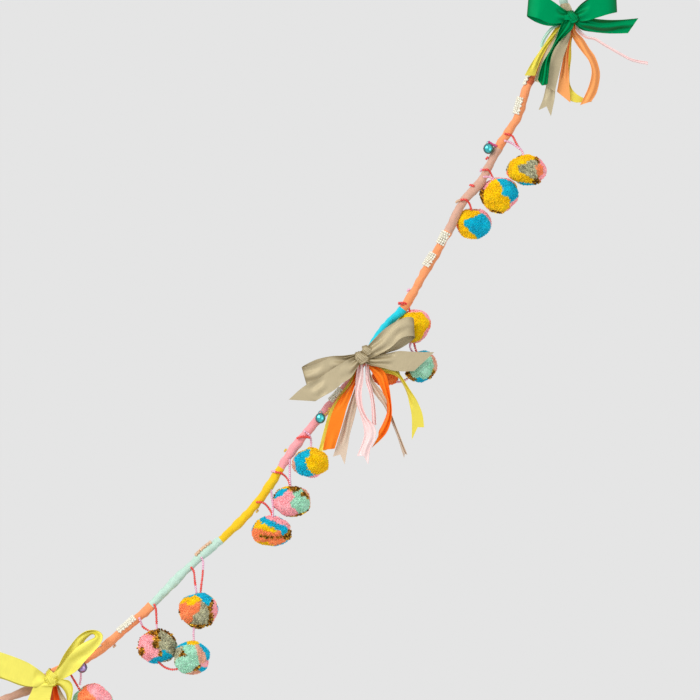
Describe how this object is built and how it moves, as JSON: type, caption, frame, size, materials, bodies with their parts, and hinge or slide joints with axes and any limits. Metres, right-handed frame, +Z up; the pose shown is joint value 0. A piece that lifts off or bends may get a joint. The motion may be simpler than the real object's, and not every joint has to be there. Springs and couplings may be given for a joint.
{
  "type": "ribbon garland",
  "caption": "Hanging garland of wound rope with satin bows, folded ribbon bunches, wool pompoms on bead strands and small round bells.",
  "frame": {"origin": "Top of the cord loop at the upper end of the rope, where the garland hangs.", "axes": "+Z up, +X to the viewer's right, -Y towards the viewer; the garland hangs in the plane of X and Z."},
  "size_m": [0.8908, 0.0617, 1.0535],
  "materials": {
    "yarn_mint": "matt wound yarn",
    "yarn_peach": "matt wound yarn",
    "yarn_tan": "matt wound yarn",
    "yarn_turquoise": "matt wound yarn",
    "yarn_pink": "matt wound yarn",
    "yarn_mustard": "matt wound yarn",
    "satin_green": "glossy satin ribbon",
    "satin_taupe": "glossy satin ribbon",
    "satin_lemon": "glossy satin ribbon",
    "satin_yellow": "satin ribbon",
    "satin_orange": "satin ribbon",
    "satin_rose_taupe": "satin ribbon",
    "satin_pale_pink": "satin ribbon",
    "satin_mint": "satin ribbon",
    "wool_mustard": "trimmed wool pile in several colours",
    "wool_turquoise": "trimmed wool pile in several colours",
    "wool_mint": "trimmed wool pile in several colours",
    "wool_orange": "trimmed wool pile in several colours",
    "wool_pink": "trimmed wool pile in several colours",
    "beads_coral": "small glossy seed beads",
    "beads_pink": "small glossy seed beads",
    "bell_turquoise": "glossy lacquered metal",
    "bell_lilac": "glossy lacquered metal",
    "cord_cream": "matt cotton cord"
  },
  "bodies": {
    "root": {"rope_mint_top": "yarn_mint", "rope_peach_upper": "yarn_peach", "rope_tan_upper": "yarn_tan", "rope_peach_middle": "yarn_peach", "rope_turquoise": "yarn_turquoise", "rope_pink": "yarn_pink", "rope_mustard": "yarn_mustard", "rope_mint_lower": "yarn_mint", "rope_peach_lower": "yarn_peach", "rope_tan_end": "yarn_tan", "end_loop_top": "cord_cream", "end_loop_lower": "cord_cream", "green_bunch_yellow": "satin_yellow", "green_bunch_orange": "satin_orange", "green_bunch_taupe": "satin_taupe", "green_bunch_shadow_taupe": "satin_taupe", "green_bunch_pink": "satin_pale_pink", "green_bunch_mint": "satin_mint", "taupe_bunch_yellow": "satin_yellow", "taupe_bunch_orange": "satin_orange", "taupe_bunch_taupe": "satin_rose_taupe", "taupe_bunch_pink": "satin_pale_pink", "lemon_bunch_orange": "satin_orange", "lemon_bunch_taupe": "satin_rose_taupe", "bow_green": "satin_green", "bow_taupe": "satin_taupe", "bow_lemon": "satin_lemon", "pompom_01": "wool_mustard", "pompom_02": "wool_mustard", "pompom_03": "wool_turquoise", "pompom_04": "wool_mustard", "pompom_05": "wool_mint", "pompom_06": "wool_orange", "pompom_07": "wool_turquoise", "pompom_08": "wool_pink", "pompom_09": "wool_mustard", "pompom_10": "wool_orange", "pompom_11": "wool_pink", "pompom_12": "wool_mint", "pompom_13": "wool_pink", "strand_01": "beads_coral", "strand_02": "beads_coral", "strand_03": "beads_pink", "strand_04": "beads_coral", "strand_05": "beads_pink", "strand_06": "beads_pink", "strand_07": "beads_coral", "strand_08": "beads_coral", "strand_09": "beads_coral", "strand_10": "beads_coral", "strand_11": "beads_pink", "strand_12": "beads_pink", "strand_13": "beads_coral", "strand_14": "beads_pink", "strand_15": "beads_coral", "strand_16": "beads_pink", "bell_upper": "bell_turquoise", "bell_middle": "bell_turquoise", "bell_lower": "bell_lilac"}
  },
  "joints": []
}
